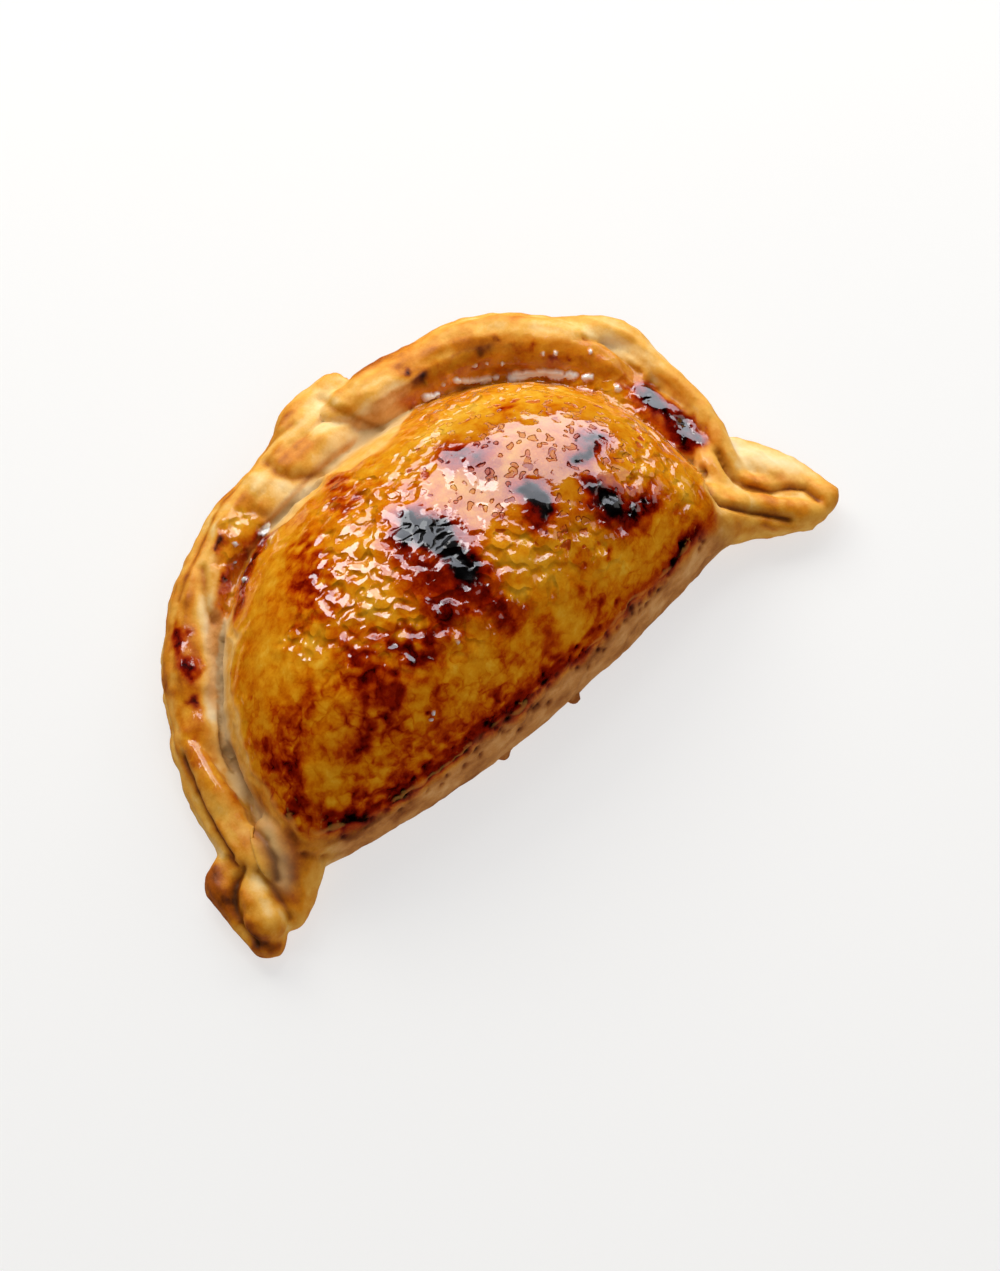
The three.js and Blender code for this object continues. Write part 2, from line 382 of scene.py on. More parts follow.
# strokes are placed by pixels of the photograph: they land where the camera's sight line meets the crust
picture = {"width": 1000, "height": 1271}


def onCrust(tree, pixels):
    camera = scene.camera
    turned = camera.rotation_euler.to_matrix()
    step = view["film"] / view["lens"] / picture["height"]
    places = []
    for across, down in pixels:
        sight = Vector(((across - picture["width"] / 2) * step, (picture["height"] / 2 - down) * step, -1))
        place = tree.ray_cast(camera.location, turned @ sight)[0]
        if place:
            places.append(place / mm)
    return places


def landed(tree, strokes):  # strokes with their pixels laid on the crust
    return [(onCrust(tree, path), *values) for path, *values in strokes]


def strongest(place, strokes, edge=None):  # the strongest stroke at each point, with a crisp edge if given
    total = np.zeros(len(place))
    for path, radius, strength in strokes:
        laid = brush(place, path, radius)
        if edge:
            laid = ease(*edge, laid)
        total = np.maximum(total, strength * laid)
    return total


def summed(place, strokes):
    total = np.zeros(len(place))
    for path, radius, strength in strokes:
        total = total + strength * brush(place, path, radius)
    return total


# what the oven and the egg wash did, with painted shade and painted highlights among the strokes: paths in
# pixels, radii in millimetres
glazing = {
    "front": [  # where the wash ends above the fold
        (232, 670), (239, 718), (250, 763), (270, 790), (286, 816), (324, 828), (360, 822), (400, 795),
        (440, 768), (480, 735), (515, 712), (545, 682), (575, 662), (597, 640), (620, 612), (645, 588),
        (668, 565), (688, 545), (708, 526),
    ],
    "left": [
        (400, 430), (375, 455), (350, 470), (330, 476), (318, 496), (300, 510), (284, 524), (238, 640),
    ],
    "right": [(702, 486), (699, 466), (695, 446)],
    "groove": [
        (688, 405), (625, 392), (560, 378), (500, 380), (455, 388), (425, 404),
        (268, 538), (254, 560), (245, 585), (240, 605),
    ],
    "grooveDepth": 3,  # how far the wash ran down there, out of sight
    "middle": (0, -9),
    "edgeNoise": [(2.2, 6, 11), (0.7, 2.2, 12)],  # strength, size and seed
    "fade": (-1.3, 1.1),  # heights over its edge between which the wash sets in
    "wallFade": 2.8,  # how much further down it thins out on the wall
    "washEdge": (0.15, 0.75),
    "glintEdge": (0.3, 0.5),
    "glintFray": 0.4,
    "washes": [  # path, radius and cover of the wash on the rolled edge
        ([(455, 384), (500, 379), (545, 376), (590, 382), (625, 392)], 2.2, 1.0),
        ([(440, 374), (480, 364), (520, 358), (560, 357), (600, 364), (630, 376)], 3.6, 0.4),
        ([(243, 522), (238, 550), (232, 580), (230, 605)], 3.8, 0.85),
        ([(179, 633), (182, 655), (188, 675)], 2.2, 0.9),
        ([(186, 690), (190, 720), (194, 745)], 2.4, 0.4),
        ([(640, 392), (666, 406), (680, 418), (690, 436)], 3.4, 1.0),
        ([(190, 735), (205, 762), (224, 788), (240, 812)], 1.8, 0.6),
    ],
}
burns = [
    # path, radius and depth of the core, radius and depth of the halo
    ([(460, 452), (480, 456)], 3.8, 0.42, 5.4, 0.08),
    ([(597, 436), (588, 446), (580, 458)], 2.2, 0.5, 4.6, 0.2),
    ([(530, 488), (540, 508)], 3.0, 0.62, 5.0, 0.26),
    ([(602, 494), (611, 504), (614, 514)], 3.0, 0.62, 5.4, 0.32),
    ([(628, 503), (650, 500)], 1.6, 0.14, 3.8, 0.28),
    ([(412, 526), (436, 536), (452, 552), (464, 570)], 3.4, 0.6, 7.0, 0.4),
    ([(410, 556), (430, 578), (444, 594)], 4.2, 0.12, 6.0, 0.3),
    ([(484, 592), (504, 608), (510, 618)], 2.4, 0.2, 4.2, 0.34),
    ([(504, 407)], 1.3, 0.4, 2.6, 0.2),
    ([(611, 549)], 0.8, 0.5, 1.5, 0.1),
    ([(694, 531), (684, 545), (672, 560)], 1.7, 0.24, 3.4, 0.2),
    ([(345, 819), (362, 815)], 1.1, 0.26, 2.6, 0.06),
    ([(626, 383), (648, 394)], 0.9, 0.2, 1.5, 0.2),
    ([(650, 396), (666, 406), (680, 418), (690, 436)], 3.0, 0.32, 4.0, 0.34),
    ([(256, 545), (247, 575), (238, 610)], 1.5, 0.3, 2.8, 0.24),
    ([(221, 541)], 0.8, 0.5, 1.5, 0.2),
    ([(221, 576)], 0.6, 0.4, 1.2, 0.1),
    ([(219, 591)], 0.6, 0.4, 1.2, 0.1),
    ([(178, 634), (181, 655), (187, 674)], 1.3, 0.4, 2.1, 0.24),
    ([(191, 699)], 0.8, 0.5, 1.5, 0.2),
    ([(404, 374)], 1.0, 0.46, 2.4, 0.2),
    ([(495, 340)], 0.6, 0.36, 1.3, 0.1),
    ([(232, 668)], 0.6, 0.6, 1.0, 0.1),
    ([(250, 696)], 0.5, 0.4, 0.9, 0.1),
    ([(478, 366)], 0.6, 0.36, 1.1, 0.1),
    ([(533, 355)], 0.6, 0.36, 1.1, 0.1),
    ([(555, 358)], 0.6, 0.36, 1.1, 0.1),
    ([(574, 362)], 0.6, 0.36, 1.1, 0.1),
]
browns = [
    # path, radius, depth
    ([(306, 545), (308, 578), (316, 608)], 4.4, 0.3),
    ([(336, 490), (350, 506)], 3.0, 0.34),
    ([(330, 480), (345, 482)], 2.0, 0.18),
    ([(366, 667), (384, 682), (392, 698)], 3.4, 0.8),
    ([(352, 690), (360, 706)], 3.0, 0.2),
    ([(402, 640), (414, 654), (430, 642)], 3.0, 0.6),
    ([(405, 752), (430, 740)], 3.0, 0.2),
    ([(184, 700), (188, 735)], 2.0, 0.1),
    ([(438, 660), (434, 678)], 2.4, 0.34),
    ([(382, 720), (386, 728)], 2.0, 0.46),
    ([(390, 700), (398, 715)], 2.0, 0.24),
    ([(361, 736), (362, 748)], 2.6, 0.4),
    ([(344, 640)], 2.8, 0.2),
    ([(452, 620), (446, 630)], 2.4, 0.12),
    ([(478, 604)], 2.6, 0.12),
    ([(572, 566), (580, 582)], 2.4, 0.22),
    ([(578, 550), (584, 560)], 2.0, 0.16),
    ([(545, 630), (550, 644)], 2.6, 0.28),
    ([(546, 660), (552, 668)], 2.2, 0.28),
    ([(600, 602)], 2.4, 0.34),
    ([(632, 606)], 2.0, 0.24),
    ([(500, 700), (520, 702)], 2.8, 0.36),
    ([(516, 664)], 2.0, 0.18),
    ([(640, 520), (634, 512)], 2.6, 0.26),
    ([(262, 748), (284, 768), (298, 792)], 2.6, 0.28),
    ([(292, 752), (300, 720), (312, 690)], 2.2, 0.2),
    ([(318, 745), (330, 750)], 2.0, 0.16),
    ([(352, 764), (356, 790)], 0.9, 0.3),
    ([(286, 802), (304, 814), (334, 816), (372, 800), (400, 788)], 2.4, 0.56),
    ([(400, 788), (426, 770), (452, 752), (472, 738), (492, 720), (516, 704)], 2.4, 0.68),
    ([(516, 704), (545, 674), (575, 648), (600, 622)], 1.6, 0.34),
    ([(440, 736), (466, 722)], 2.6, 0.2),
]
golds = [
    # path, radius, how much paler the glaze is
    ([(262, 660), (280, 680)], 3.6, 0.1),
    ([(312, 650)], 2.6, 0.12),
    ([(334, 704), (340, 726)], 2.4, 0.12),
    ([(412, 704)], 3.0, 0.12),
    ([(470, 684), (480, 660)], 3.4, 0.1),
    ([(330, 770), (346, 776)], 2.8, 0.1),
    ([(510, 560), (550, 560), (600, 560), (630, 566)], 4.2, 0.1),
    ([(500, 596), (520, 590)], 2.4, 0.1),
    ([(640, 545)], 3.0, 0.12),
    ([(580, 620), (560, 616)], 2.6, 0.06),
    ([(664, 470), (690, 505)], 4.0, 0.06),
    ([(430, 440), (450, 418), (500, 398), (560, 392)], 4.0, 0.2),
    ([(615, 402), (640, 420)], 3.4, 0.16),
    ([(372, 540), (380, 610)], 4.0, 0.1),
    ([(280, 545), (270, 590)], 3.0, 0.08),
    ([(240, 522), (252, 526)], 2.4, 0.16),
]
murk = [
    # broad brown clouds with darker veins in them: path, radius, strength
    ([(290, 740), (290, 780)], 11, 0.9),
    ([(340, 710), (380, 760)], 11, 0.9),
    ([(450, 710), (500, 680)], 9, 0.8),
    ([(600, 590), (640, 570)], 8, 0.4),
    ([(310, 580)], 9, 0.6),
    ([(400, 650), (440, 640)], 8, 0.7),
    ([(640, 500), (670, 530)], 7, 0.6),
]
toasts = [
    # path, radius, change of the dough's browning
    ([(395, 356), (430, 346), (470, 342), (510, 345), (550, 350), (600, 352)], 3.0, 0.16),
    ([(404, 374), (430, 366), (460, 356)], 3.0, 0.14),
    ([(350, 400), (362, 408), (374, 406)], 2.6, 0.2),
    ([(282, 464), (290, 454), (304, 446)], 2.6, 0.3),
    ([(278, 470), (290, 470)], 1.4, 0.08),
    ([(300, 462), (312, 455)], 1.8, 0.12),
    ([(246, 500), (256, 508)], 2.4, 0.3),
    ([(248, 480)], 3.0, 0.12),
    ([(350, 402), (362, 404)], 2.6, 0.1),
    ([(165, 690), (163, 650), (170, 610), (185, 570), (210, 520), (240, 475), (275, 432),
      (286, 420)], 1.8, 0.2),
    ([(192, 735), (185, 700), (180, 640), (190, 600)], 3.0, 0.26),
    ([(190, 745), (215, 780), (230, 810), (245, 840)], 2.6, 0.14),
    ([(172, 730), (180, 780), (200, 830)], 2.0, 0.22),
    ([(214, 880), (222, 900)], 4.2, 0.42),
    ([(206, 764), (220, 780)], 1.6, 0.2),
    ([(345, 834), (380, 824), (410, 806)], 2.6, 0.2),
    ([(702, 416), (712, 432), (722, 456)], 1.6, 0.1),
    ([(230, 792), (238, 806)], 1.5, 0.34),
    ([(236, 880), (240, 910), (252, 930)], 1.4, 0.1),
    ([(196, 790), (210, 820), (226, 848)], 1.2, 0.22),
    ([(295, 845), (288, 870), (284, 895)], 3.4, 0.26),
    ([(258, 938), (270, 948)], 2.6, 0.36),
    ([(430, 380), (470, 372), (520, 366), (570, 366), (610, 374)], 2.2, 0.34),
    ([(245, 900), (262, 925)], 2.0, 0.04),
    ([(300, 880), (296, 900)], 3.0, 0.1),
    ([(262, 800), (284, 834), (320, 842)], 4.6, 0.24),
    ([(735, 498), (770, 504), (800, 506)], 2.6, 0.14),
    ([(812, 492), (824, 510)], 3.0, 0.1),
    ([(735, 470), (765, 480), (795, 478)], 2.4, 0.12),
    # painted shadow: the pale strip under the club's end, browned a little
    ([(366, 442), (396, 430)], 2.0, 0.06),
    ([(720, 520), (745, 530), (775, 528)], 2.0, 0.16),
]
unseenToasts = [
    # on the far side, with their paths in millimetres
    ([(17, 38.5, 17), (30, 37, 16), (44, 31, 15), (54, 22, 14)], 3.0, 0.15),
    ([(-15, 39, 8), (0, 42, 8)], 2.5, 0.12),
    ([(66, -31, 9), (70.5, -40, 8)], 4.0, 0.1),
]
pales = [
    # path, radius, how much paler the dough is
    ([(250, 500), (290, 455), (330, 420), (384, 404)], 6.5, 0.12),
    ([(318, 412), (330, 430), (336, 446), (318, 464)], 3.6, 0.05),
    ([(268, 480), (284, 484)], 2.2, 0.14),
    ([(322, 395), (336, 404)], 2.4, 0.1),
    ([(395, 400), (400, 386)], 2.6, 0.2),
    ([(372, 410), (388, 412)], 2.4, 0.2),
    ([(310, 490), (290, 505), (276, 520)], 1.6, 0.3),
    ([(335, 466), (353, 447), (376, 435), (396, 425)], 2.2, 0.05),
    ([(228, 612), (224, 650), (222, 700), (228, 750), (244, 785), (262, 815), (276, 848)], 1.6, 0.2),
    ([(722, 515), (735, 530)], 3.0, 0.06),
    ([(735, 445), (760, 455), (790, 465)], 3.4, 0.3),
    ([(258, 884), (266, 912)], 2.0, 0.18),
    ([(575, 332), (605, 340)], 3.0, 0.1),
    # painted highlight: paler along the rope's ridge where it catches the light
    ([(180, 730), (200, 752), (216, 770)], 1.0, 0.26),
    ([(222, 480), (205, 520)], 2.2, 0.12),
    ([(450, 332), (500, 326), (560, 327), (610, 338)], 2.4, 0.04),
    ([(204, 602), (210, 632), (213, 660), (212, 690), (213, 716)], 2.2, 0.34),
]
creases = [
    # path, width, depth
    ([(262, 532), (275, 520), (292, 505), (305, 495), (318, 484)], 0.9, 0.9),
    ([(222, 640), (221, 665), (221, 690), (220, 715), (221, 735), (225, 755), (233, 772)], 0.5, 1.2),
    ([(184, 758), (192, 784), (204, 812), (217, 838), (230, 858)], 1.0, 1.2),
    ([(226, 750), (238, 772), (246, 790), (250, 808), (256, 826), (266, 842), (274, 860),
      (276, 880)], 1.0, 1.3),
    ([(206, 862), (214, 856), (226, 858), (236, 866)], 0.8, 0.9),
    ([(243, 868), (237, 880), (233, 893), (235, 912), (243, 930), (255, 945)], 1.0, 1.2),
    ([(258, 872), (272, 886), (284, 904), (291, 920)], 1.0, 1.1),
    ([(702, 470), (708, 483), (714, 494), (722, 502), (732, 507), (744, 510), (756, 513),
      (772, 516), (790, 521)], 0.9, 1.5),
    ([(718, 452), (726, 466), (735, 478), (745, 486), (770, 492), (792, 487), (806, 489),
      (818, 500)], 0.8, 1.1),
    ([(585, 338), (605, 345), (625, 360), (640, 372)], 0.8, 0.8),
    ([(202, 568), (205, 590), (209, 608), (215, 622)], 1.0, 0.9),
    ([(304, 855), (326, 858)], 0.8, 0.7),
    ([(322, 398), (332, 408), (350, 415), (366, 424), (382, 429)], 1.1, 0.7),
    ([(266, 462), (276, 473), (292, 478), (310, 476), (322, 474)], 1.3, 0.8),
    ([(240, 512), (254, 512), (266, 516)], 1.2, 0.5),
    ([(292, 425), (268, 447), (244, 472), (226, 494), (210, 522), (197, 550), (186, 578),
      (178, 600)], 0.7, 0.35),
]
rawDoughShade = [
    # unbaked, greyish dough, most of it down in the groove, where the grey is also painted shade: path,
    # radius, strength
    ([(398, 424), (376, 435), (353, 447), (335, 466)], 2.6, 0.75),
    ([(735, 446), (765, 458), (790, 468)], 3.6, 0.3),
    ([(318, 482), (300, 500), (276, 522)], 2.0, 0.7),
    ([(228, 612), (222, 650), (222, 700), (228, 750), (246, 790)], 2.4, 0.7),
    ([(246, 785), (258, 806), (270, 832), (280, 858), (282, 880)], 2.0, 0.7),
]
bulges = [
    # path, radius, height
    ([(290, 452), (312, 442)], 4.6, 0.9),
    ([(260, 488)], 4.0, 0.7),
    ([(326, 425), (334, 440)], 3.6, 0.6),
    ([(232, 535)], 3.6, 0.5),
    ([(352, 398), (370, 402)], 4.2, 0.6),
    ([(188, 735), (202, 762), (222, 790), (240, 816), (255, 845), (266, 872)], 2.2, 1.0),
    ([(176, 745), (186, 790), (202, 830)], 1.8, 0.5),
    ([(256, 832), (264, 850), (269, 868)], 1.9, 1.1),
    ([(262, 892), (272, 918)], 3.0, 0.6),
    ([(745, 495), (775, 503), (805, 507)], 2.0, 0.6),
    ([(818, 512), (828, 506)], 3.0, 0.8),
]
pits = [
    # single small holes, mostly where the wash ends
    (600, 645), (609, 634), (618, 627), (629, 604), (573, 665), (546, 682), (532, 707), (550, 704),
    (507, 720), (655, 590), (396, 797), (432, 774), (459, 757), (424, 768), (482, 755), (493, 725),
    (482, 739), (442, 785), (388, 811), (342, 837), (329, 830), (415, 779), (465, 767), (520, 730),
    (590, 668), (640, 610), (428, 714),
]
blistered = [
    # where the glaze is wrinkled and catches many small lights: path, radius, strength
    ([(360, 500), (372, 540), (360, 585), (390, 612), (430, 612), (480, 590), (520, 565)], 9, 1.0),
    ([(430, 440), (400, 480)], 6, 0.8),
    ([(412, 524), (440, 545), (470, 575)], 5, 1.0),
    ([(560, 548), (600, 545), (630, 470)], 7, 0.7),
    ([(440, 416), (480, 396), (540, 386), (600, 393), (640, 412)], 4.6, 0.95),
    ([(300, 630), (330, 655)], 6, 0.55),
    ([(242, 530), (236, 560), (231, 600)], 5, 1.0),
    ([(690, 420)], 4, 0.6),
    ([(646, 436), (664, 462), (682, 492)], 6, 0.55),
]
paintedGlints = [
    # painted highlights: thin white lines and dots for the glints off the wet wash, most of them in the
    # groove behind the dome: path, radius
    ([(456, 381), (470, 380), (488, 377)], 0.8),
    ([(497, 376)], 0.8),
    ([(514, 376), (528, 373), (542, 371), (558, 375)], 1.1),
    ([(566, 375), (574, 376)], 0.7),
    ([(582, 377), (590, 376)], 0.6),
    ([(424, 398), (434, 395)], 1.0),
    ([(476, 365)], 0.4), ([(486, 363)], 0.4), ([(502, 363)], 0.4), ([(515, 362)], 0.4), ([(544, 355)], 0.4),
    ([(420, 716)], 0.3), ([(433, 713)], 0.4), ([(431, 721)], 0.3), ([(459, 640)], 0.3),
    ([(556, 353)], 0.5), ([(590, 353)], 0.4), ([(443, 385)], 0.4), ([(618, 388)], 0.5),
    ([(262, 532), (267, 526)], 0.9), ([(246, 580)], 0.6), ([(236, 546)], 0.5),
    ([(222, 556)], 0.4), ([(234, 562)], 0.4),
]
calm = ([(468, 440), (520, 430), (590, 430), (560, 488), (490, 474)], 9.5)  # where the wash lies smooth


# what is known of every vertex while the crust is painted
surface = {
    "domeRing": (0.88, 0.94),  # where the dome gives way to the rolled edge
    "swellRounds": 60,
    "wander": (4.5, (1, 2, 3)),  # size and seeds of the noise that shifts a stroke
    "fray": (1.7, (4, 5, 6)),
    "raggedness": (2.0, 1.1),  # how far both of these shift a ragged stroke
    "frontFacing": (0.25, 0.6),
    "frontEnds": (48, 56),
    "foreshortening": (1, 1, 0.5),  # the wall is seen from above
    "noises": [(13, 21), (5, 22), (2.1, 23)],  # broad, medium and fine: size and seed
}


def measured(piece):
    skin = SimpleNamespace(mesh=piece.data)
    skin.place, skin.facing, skin.ends = vertexArrays(piece.data)
    skin.tree = bvhtree.BVHTree.FromObject(piece, bpy.context.evaluated_depsgraph_get())
    place = skin.place
    skin.x, skin.y, skin.z = place.T
    skin.along = skin.x + crust["shift"][0]
    skin.dome = 1 - ease(*surface["domeRing"], ringOf(place))
    evened = relaxed(place, skin.ends, surface["swellRounds"])
    skin.swell = ((place - evened) * skin.facing).sum(axis=1)  # above 0 on a bulge, below 0 in a crease
    skin.wander = drift(place, *surface["wander"])
    wandering, fraying = surface["raggedness"]
    skin.ragged = place + wandering * skin.wander + fraying * drift(place, *surface["fray"])
    notEnds = 1 - ease(*surface["frontEnds"], np.abs(skin.along))
    skin.front = ease(*surface["frontFacing"], -skin.facing[:, 1]) * notEnds
    skin.squashed = place * surface["foreshortening"]
    skin.broad, skin.medium, skin.fine = (grain(place, size, seed) for size, seed in surface["noises"])
    return skin


def layWash(skin):
    middle = glazing["middle"]
    inSight = glazing["front"] + glazing["left"] + glazing["right"]
    edge = [tuple(spot) for spot in onCrust(skin.tree, inSight)]
    edge += [(x, y, z - glazing["grooveDepth"]) for x, y, z in onCrust(skin.tree, glazing["groove"])]
    turns = [math.atan2(y - middle[1], x - middle[0]) for x, y, z in edge]
    heights = [z for x, y, z in edge]
    turn = np.arctan2(skin.y - middle[1], skin.x - middle[0])
    washHeight = np.interp(turn, turns, heights, period=2 * math.pi)
    skin.overEdge = skin.z - washHeight - uneven(skin.squashed, *glazing["edgeNoise"])

    low, high = glazing["fade"]
    skin.wall = skin.front * (1 - skin.dome * ease(low, high, skin.overEdge))
    onDome = skin.dome * ease(low - glazing["wallFade"] * skin.front, high, skin.overEdge)
    skin.washed = strongest(skin.ragged, landed(skin.tree, glazing["washes"]), glazing["washEdge"])
    # painted highlights: white dabs for the glints and the bright wet line in the groove
    share = glazing["glintFray"]
    dabs = [(path, radius, 1) for path, radius in paintedGlints]
    glintPlaces = (1 - share) * skin.place + share * skin.ragged
    skin.foam = strongest(glintPlaces, landed(skin.tree, dabs), glazing["glintEdge"])
    skin.glaze = np.maximum(onDome, np.maximum(skin.washed, skin.foam))


# how brown the wash is, from 0 to 1
browning = {
    "even": 0.24,
    "mottle": (0.05, 0.1, 0.1),  # broad, medium and fine noise
    "web": (3.2, 7, 24),  # sharpness, size and seed
    "vein": (5, 3.4, 25),
    "murk": (0.02, 0.08, 0.06, 0.06, 0.04),  # plain, web, veins, medium noise, veins with medium noise
    "brownest": 0.5,
    "brownMottle": (0.75, 0.9, 0.3),  # plain, fine noise, veins
    "brink": 0.26,  # the wash is brown where it ends
    "brinkSpread": 2.2,
    "brinkHeight": 0.2,
    "unburnt": 0.69,  # the darkest without soot
}


def brownGlaze(skin):
    web = lines(skin.ragged, *browning["web"])
    skin.vein = lines(skin.ragged, *browning["vein"])
    skin.cloud = strongest(skin.ragged, landed(skin.tree, murk))
    brown = summed(skin.ragged, landed(skin.tree, browns))
    skin.soot = np.zeros(len(skin.place))
    for path, radius, depth, haloRadius, haloDepth in landed(skin.tree, burns):
        away = reach(skin.ragged, path)
        burnt = depth * bell(away, radius) + haloDepth * bell(away, haloRadius)
        skin.soot = np.maximum(skin.soot, burnt)

    tone = browning["even"] + weighed(browning["mottle"], skin.broad, skin.medium, skin.fine)
    murky = weighed(browning["murk"], 1, web, skin.vein, skin.medium, skin.vein * skin.medium)
    tone = tone + skin.cloud * murky
    deepest = browning["brownest"]
    brown = deepest * np.tanh(brown / deepest)
    tone = tone + brown * weighed(browning["brownMottle"], 1, skin.fine, skin.vein)
    tone = tone - summed(skin.ragged, landed(skin.tree, golds))
    ending = bell(skin.overEdge, browning["brinkSpread"], browning["brinkHeight"])
    tone = tone + browning["brink"] * skin.front * ending
    skin.tone = np.clip(np.minimum(tone, browning["unburnt"]) + skin.soot, 0, 1)


# how brown the bare dough is, from 0 to 1, with fibres drawn out along the rolled edge
toasting = {
    "even": 0.38,
    "mottle": (0.15, 0.08, 0.08, 0.07),  # fibres, then broad, medium and fine noise
    "fibreNoise": (1.7, 38),
    "fibreStretch": 7,
    "fibreTurn": 60,  # radius at which the way round the edge is measured
    "fibreOut": 67,
    "fibreRing": (0.9, 0.96),
    "fibreBack": (-15, 0),
    "swell": 0.16,
    "swellLimits": (-1, 0.8),
    "wallTop": (-6, -0.5),
    "wall": (0.26, -0.12, 0.16),  # below the wash, everywhere, medium noise
    "mottledStroke": 0.5,
    "paleWander": 0.5,
    "foot": 0.08,
    "footHeight": (1.0, 3.0),
}


def toastDough(skin):
    back = skin.y + crust["shift"][1]
    ring = ringOf(skin.place)
    lengthwise = toasting["fibreTurn"] * np.arctan2(back, skin.along - crust["skew"] * skin.y)
    drawn = np.stack([lengthwise / toasting["fibreStretch"], toasting["fibreOut"] * ring, skin.z], axis=1)
    onEdge = ease(*toasting["fibreRing"], ring) * ease(*toasting["fibreBack"], back)
    skin.fibre = grain(drawn, *toasting["fibreNoise"]) * onEdge

    toast = toasting["even"] + toasting["swell"] * np.clip(skin.swell, *toasting["swellLimits"])
    toast = toast + weighed(toasting["mottle"], skin.fibre, skin.broad, skin.medium, skin.fine)
    belowWash = ease(*toasting["wallTop"], skin.overEdge)
    toast = toast + skin.wall * weighed(toasting["wall"], belowWash, 1, skin.medium)
    browned = summed(skin.ragged, landed(skin.tree, toasts) + unseenToasts)
    toast = toast + browned * (1 + toasting["mottledStroke"] * skin.medium)
    shifted = skin.place + toasting["paleWander"] * skin.wander
    toast = toast - summed(shifted, landed(skin.tree, pales))
    # unbaked grey dough, partly painted shade down in the groove
    skin.raw = strongest(shifted, landed(skin.tree, rawDoughShade))
    toast = toast + toasting["foot"] * (1 - ease(*toasting["footHeight"], skin.z))
    skin.toast = np.clip(toast + skin.soot, 0, 1)


# heights in millimetres
relief = {
    "calmSoot": (0.15, 0.4),  # burns aren't calm
    "calmed": 0.75,
    "wrinkle": (3.4, 31),  # size and seed
    "wrinkleDepth": (0.2, -0.06, 0.5),  # plain, calm, blistered
    "fineWrinkle": (1.8, 32),
    "fineWrinkleDepth": (0.03, 0.06),  # plain, blistered
    "knead": [(0.3, 6.5, 35), (0.28, 3.2, 33), (0.1, 1.5, 34)],  # height, size and seed
    "fibre": 0.34,
    "fray": (0.5, 1.8, 37),
    "frayHeight": (1.5, 4.0),
    "paintedGlints": 0.8,
    "creaseWander": 0.2,
    "creaseShade": (0.1, 0.16),  # painted shade: browner over its width, and darker down in it
    "creaseSharpness": 4,
    "hole": 0.5,
    "holeTones": (0.34, 0.46),  # browning of the wash and of the dough
    "lip": 0.34,
    "lipTone": 0.06,
    "footHeight": (0.2, 1.2),  # the foot stays flat
}


def wrinkleSkin(skin):
    place = skin.place
    blister = strongest(place + skin.wander, landed(skin.tree, blistered))
    path, radius = calm
    unburnt = 1 - ease(*relief["calmSoot"], skin.soot)
    skin.still = brush(place, onCrust(skin.tree, path), radius) * unburnt
    skin.blister = blister * (1 - relief["calmed"] * skin.still)
    coarse = grain(place, *relief["wrinkle"]) * weighed(relief["wrinkleDepth"], 1, skin.still, skin.blister)
    fine = grain(place, *relief["fineWrinkle"]) * weighed(relief["fineWrinkleDepth"], 1, skin.blister)
    dough = uneven(place, *relief["knead"]) + relief["fibre"] * skin.fibre
    frayed = uneven(place, relief["fray"]) * skin.wall * (1 - ease(*relief["frayHeight"], skin.z))
    skin.rise = skin.glaze * (coarse + fine) + (1 - skin.glaze) * dough + frayed
    skin.rise = skin.rise + relief["paintedGlints"] * skin.foam


def creaseDough(skin):
    shifted = skin.place + relief["creaseWander"] * skin.wander
    wide, deep = relief["creaseShade"]
    skin.seam = np.zeros(len(shifted))
    for path, width, depth in landed(skin.tree, creases):
        groove = brush(shifted, path, width)
        skin.seam = np.maximum(skin.seam, groove * depth)
        # painted shade: browner across each crease and darker deep in it
        skin.toast = skin.toast + wide * groove + deep * depth * groove ** relief["creaseSharpness"]
    skin.rise = skin.rise - skin.seam + summed(skin.place, landed(skin.tree, bulges))


# small holes where the wash ends and below it, besides the pits
holes = {
    "count": 70,
    "first": 5,  # they start at this point of the front edge
    "down": (0.5, 0.86),  # down the wall in the photograph
    "spread": (-9, 14),  # in pixels
    "width": (0.32, 0.66),
    "squeeze": (0.8, 1, 0.6),
    "wander": 0.4,
}


def pierceHoles(skin):
    draw = random.Random(crust["seed"])
    brink = [Vector(pixel) for pixel in glazing["front"]]
    pixels = list(pits)
    for _ in range(holes["count"]):
        number = draw.randrange(holes["first"], len(brink) - 1)
        pixel = brink[number].lerp(brink[number + 1], draw.random())
        pixels.append(pixel + Vector(holes["down"]) * draw.uniform(*holes["spread"]))
    shifted = skin.place + holes["wander"] * skin.wander
    skin.hollow = np.zeros(len(shifted))
    for spot in onCrust(skin.tree, pixels):
        width = draw.uniform(*holes["width"])
        oval = (shifted - np.array(spot)) * holes["squeeze"]
        skin.hollow = np.maximum(skin.hollow, bell(np.linalg.norm(oval, axis=1), width))


# thin raised lines where the wash ends
lips = {
    "spread": 0.8,
    "filmDrop": 2.6,  # a second, thinner edge lies this much lower
    "filmNoise": (2.0, 3.5, 13),
    "filmSpread": 0.5,
    "filmShare": 0.7,
    "veinHeight": 1.0,
    "veinSpread": 3.2,
    "breaks": (-0.3, 0.2),
    "breakNoise": (5, 36),
}


def raiseLips(skin):
    edge = bell(skin.overEdge, lips["spread"])
    film = skin.overEdge + lips["filmDrop"] + uneven(skin.squashed, lips["filmNoise"])
    film = lips["filmShare"] * bell(film, lips["filmSpread"])
    veins = skin.vein ** 2 * bell(skin.overEdge, lips["veinSpread"], lips["veinHeight"])
    ridge = np.maximum(np.maximum(edge, film), veins)
    skin.lip = ridge * skin.dome * ease(*lips["breaks"], grain(skin.place, *lips["breakNoise"]))


